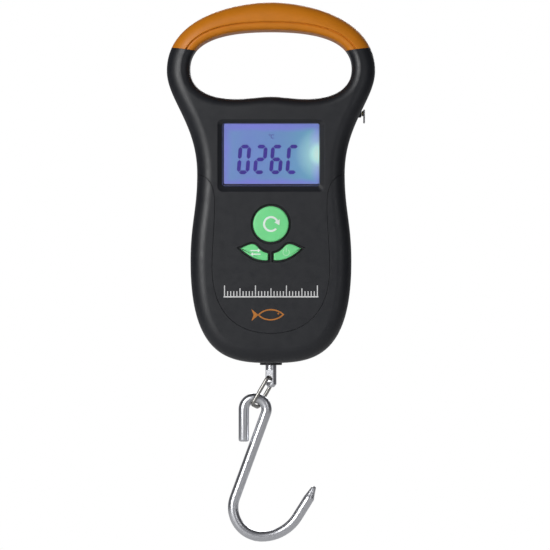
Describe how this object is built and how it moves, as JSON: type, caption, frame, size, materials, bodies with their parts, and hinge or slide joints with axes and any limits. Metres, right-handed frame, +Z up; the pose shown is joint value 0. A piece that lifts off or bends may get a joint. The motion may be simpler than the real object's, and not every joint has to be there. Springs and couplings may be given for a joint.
{
  "type": "digital hanging fish scale",
  "caption": "Hand-held digital hanging scale: loop handle with soft grip, lit display, push buttons, pull-out tape and a swinging S-hook on a link.",
  "frame": {"origin": "centre of the handle's grip bar, on the case's middle plane", "axes": "+Z up along the scale from hook to handle, -Y is the display face, +X to the right of someone reading the display"},
  "size_m": [0.0878, 0.029, 0.2276],
  "materials": {
    "charcoal_plastic": "fine moulded grain",
    "orange_grip": "soft-touch, satin",
    "clear_lens": "polished acrylic",
    "display_glass": "lit blue-violet",
    "light_guide": "milky",
    "white_plastic": "moulded",
    "connector_rubber": "silicone",
    "board_green": "solder mask",
    "black_epoxy": "potting",
    "black_plastic": "moulded",
    "green_keys": "satin, mint green",
    "zinc_screws": "zinc plated",
    "cell_jacket": "wrapped cell",
    "nickel_contacts": "nickel plated",
    "wire_insulation": "PVC",
    "load_aluminium": "milled",
    "gauge_film": "polyimide film",
    "pressed_steel": "pressed sheet",
    "hook_steel": "drawn bar, polished",
    "tape_enamel": "yellow enamel",
    "spring_steel": "blued",
    "label_foil": "blank brushed foil"
  },
  "bodies": {
    "case": {"front_shell": "charcoal_plastic", "rear_shell": "charcoal_plastic", "handle_grip": "orange_grip", "lcd_window": "clear_lens", "lcd_glass": "display_glass", "backlight": "light_guide", "lcd_frame": "white_plastic", "zebra_strip": "connector_rubber", "pcb": "board_green", "cob_chip": "black_epoxy", "tact_switches": "black_plastic", "tape_housing": "black_plastic", "exit_collar": "black_plastic", "tape_guide": "black_plastic", "pcb_screws": "zinc_screws", "case_screws": "zinc_screws", "bracket_screws": "zinc_screws", "cell_bolt": "zinc_screws", "post_nut": "zinc_screws", "batteries": "cell_jacket", "contact_springs": "nickel_contacts", "contact_plates": "nickel_contacts", "battery_wires": "wire_insulation", "gauge_wires": "wire_insulation", "load_cell": "load_aluminium", "strain_gauges": "gauge_film", "cell_bracket": "pressed_steel", "spool_axle": "pressed_steel", "hook_post": "hook_steel", "tape_spring": "spring_steel", "rear_label": "label_foil"},
    "reset_key": {"reset_button": "green_keys"},
    "unit_key": {"unit_button": "green_keys"},
    "power_key": {"power_button": "green_keys"},
    "door": {"battery_door": "charcoal_plastic"},
    "hook_link": {"link": "hook_steel"},
    "hook": {"s_hook": "hook_steel"},
    "spool": {"tape_spool": "white_plastic", "tape_coil": "tape_enamel"},
    "tape_end": {"tape_blade": "tape_enamel", "tape_tab": "pressed_steel"}
  },
  "joints": [
    {"name": "reset_press", "type": "slide", "parent": "case", "child": "reset_key", "axis": [0, 1, 0], "range_m": [0, 0.0005], "stiffness_N_per_m": 1500, "springref_m": -0.0003},
    {"name": "unit_press", "type": "slide", "parent": "case", "child": "unit_key", "axis": [0, 1, 0], "range_m": [0, 0.0005], "stiffness_N_per_m": 1500, "springref_m": -0.0003},
    {"name": "power_press", "type": "slide", "parent": "case", "child": "power_key", "axis": [0, 1, 0], "range_m": [0, 0.0005], "stiffness_N_per_m": 1500, "springref_m": -0.0003},
    {"name": "door_open", "type": "hinge", "parent": "case", "child": "door", "pos_m": [0, 0.014, -0.0887], "axis": [-1, 0, 0], "range_deg": [0, 60]},
    {"name": "link_swing", "type": "hinge", "parent": "case", "child": "hook_link", "pos_m": [0, 0, -0.1523], "axis": [0.4226, 0.9063, 0], "range_deg": [-60, 35]},
    {"name": "hook_swing", "type": "hinge", "parent": "hook_link", "child": "hook", "pos_m": [-0.0067, 0, -0.1638], "axis": [0, 1, 0], "range_deg": [-40, 40]},
    {"name": "spool_spin", "type": "hinge", "parent": "case", "child": "spool", "pos_m": [0.013, 0.0055, -0.0508], "axis": [0, 1, 0], "range_deg": [0, 6530], "stiffness_Nm_per_rad": 0.0001, "springref_deg": -6875.49},
    {"name": "tape_pull", "type": "slide", "parent": "case", "child": "tape_end", "axis": [1, 0, 0], "range_m": [0, 1]}
  ],
  "couplings": [
    {"joint": "tape_pull", "follows": "spool_spin", "m_per_rad": 0.00877}
  ]
}
